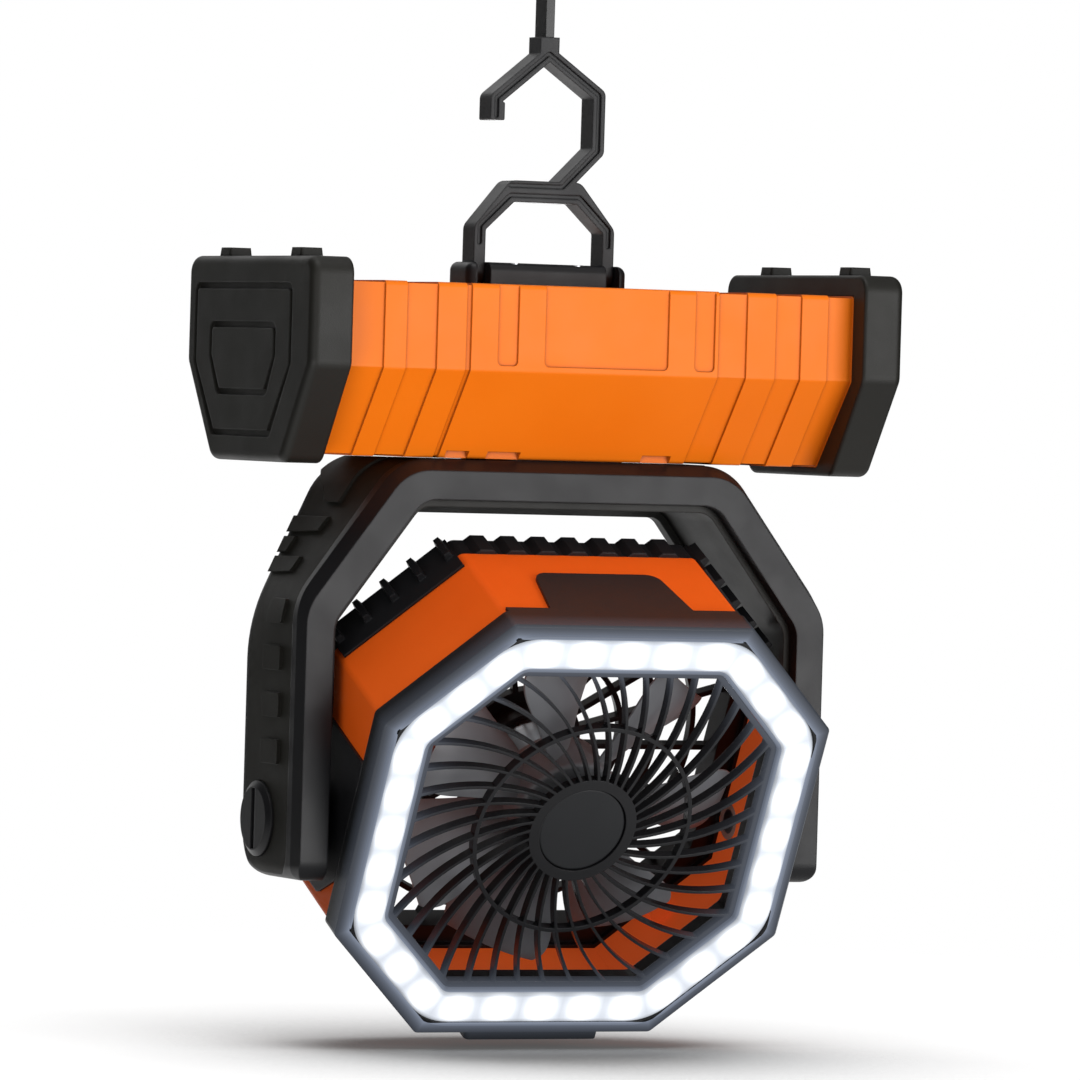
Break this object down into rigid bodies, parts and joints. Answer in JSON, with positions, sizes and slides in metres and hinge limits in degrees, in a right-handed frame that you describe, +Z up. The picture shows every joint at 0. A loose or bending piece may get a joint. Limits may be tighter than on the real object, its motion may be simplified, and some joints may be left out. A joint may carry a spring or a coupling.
{
  "type": "portable camping fan",
  "caption": "Hanging rechargeable camping fan: a folding hook, a battery base with rubber end caps, a tilting bracket and an octagonal fan head with a ring light.",
  "frame": {"origin": "centre of the hang hole in the stem above the hook, at the middle of the stem's thickness", "axes": "+Z up as the fan hangs, -Y towards the user in front of the fan, +X along the battery base to the user's right"},
  "size_m": [0.262, 0.1568, 0.4352],
  "materials": {
    "orange_shell": "fine satin moulded ABS",
    "black_frame": "fine moulded texture",
    "rubber_cap": "soft-touch overmould",
    "rubber_foot": "moulded rubber",
    "black_trim": "smooth moulded plastic",
    "steel": "zinc plated",
    "stem_black": "black coated steel",
    "cell_wrap": "heat-shrink wrapped cell",
    "circuit_board": "solder mask",
    "light_lens": "translucent white, lit",
    "impeller_gray": "moulded",
    "washer": "acetal",
    "magnet": "ferrite and laminations"
  },
  "bodies": {
    "hanger": {"hanger_stem": "stem_black", "hook": "black_frame"},
    "base": {"battery_cells": "cell_wrap", "battery_tube": "orange_shell", "bracket_frame": "black_frame", "bracket_liner": "rubber_cap", "bracket_screws": "steel", "bracket_seat": "rubber_foot", "bracket_tread_left": "rubber_cap", "bracket_tread_right": "rubber_cap", "button_switches": "steel", "cell_contacts": "steel", "cell_holder": "black_trim", "charge_lights": "light_lens", "control_panel": "black_trim", "end_cap_left": "rubber_cap", "end_cap_right": "rubber_cap", "foot_front_left": "rubber_foot", "foot_front_right": "rubber_foot", "foot_rear_left": "rubber_foot", "foot_rear_right": "rubber_foot", "friction_washer_left": "washer", "friction_washer_right": "washer", "hook_pin": "steel", "hook_plate": "black_frame", "hook_plate_screws": "steel", "main_board": "circuit_board", "pivot_bolt_left": "steel", "pivot_bolt_right": "steel", "pivot_cap_left": "black_trim", "pivot_cap_right": "black_trim", "usb_a_port": "steel", "usb_c_port": "steel"},
    "head": {"front_bezel": "black_frame", "light_diffuser": "light_lens", "led_board": "circuit_board", "led_chips": "light_lens", "front_grille": "black_frame", "grille_hub_cap": "black_trim", "head_shell": "orange_shell", "rear_grille": "black_frame", "head_screws": "steel", "motor_mount": "black_trim", "motor_screws": "steel", "motor_can": "steel", "motor_bearing_front": "steel", "motor_bearing_rear": "steel", "motor_magnets": "magnet", "side_cover_left": "black_frame", "side_cover_right": "black_frame", "pivot_bushing_left": "washer", "pivot_bushing_right": "washer"},
    "rotor": {"rotor_shaft": "steel", "motor_armature": "magnet", "impeller": "impeller_gray", "impeller_nut": "steel"},
    "fan_button": {"fan_button": "black_trim"},
    "light_button": {"light_button": "black_trim"}
  },
  "joints": [
    {"name": "hook_fold", "type": "hinge", "parent": "hanger", "child": "base", "pos_m": [0, 0, -0.11855], "axis": [-1, 0, 0], "range_deg": [0, 90]},
    {"name": "head_tilt", "type": "hinge", "parent": "base", "child": "head", "pos_m": [0, 0, -0.3417], "axis": [1, 0, 0], "range_deg": [-33, 237]},
    {"name": "rotor_spin", "type": "hinge", "parent": "head", "child": "rotor", "pos_m": [0, -0.01159, -0.31876], "axis": [0, -0.8926, -0.4509], "continuous": true},
    {"name": "fan_button_press", "type": "slide", "parent": "base", "child": "fan_button", "axis": [0, -1, 0], "range_m": [0, 0.001], "stiffness_N_per_m": 800, "springref_m": -0.0005},
    {"name": "light_button_press", "type": "slide", "parent": "base", "child": "light_button", "axis": [0, -1, 0], "range_m": [0, 0.001], "stiffness_N_per_m": 800, "springref_m": -0.0005}
  ]
}
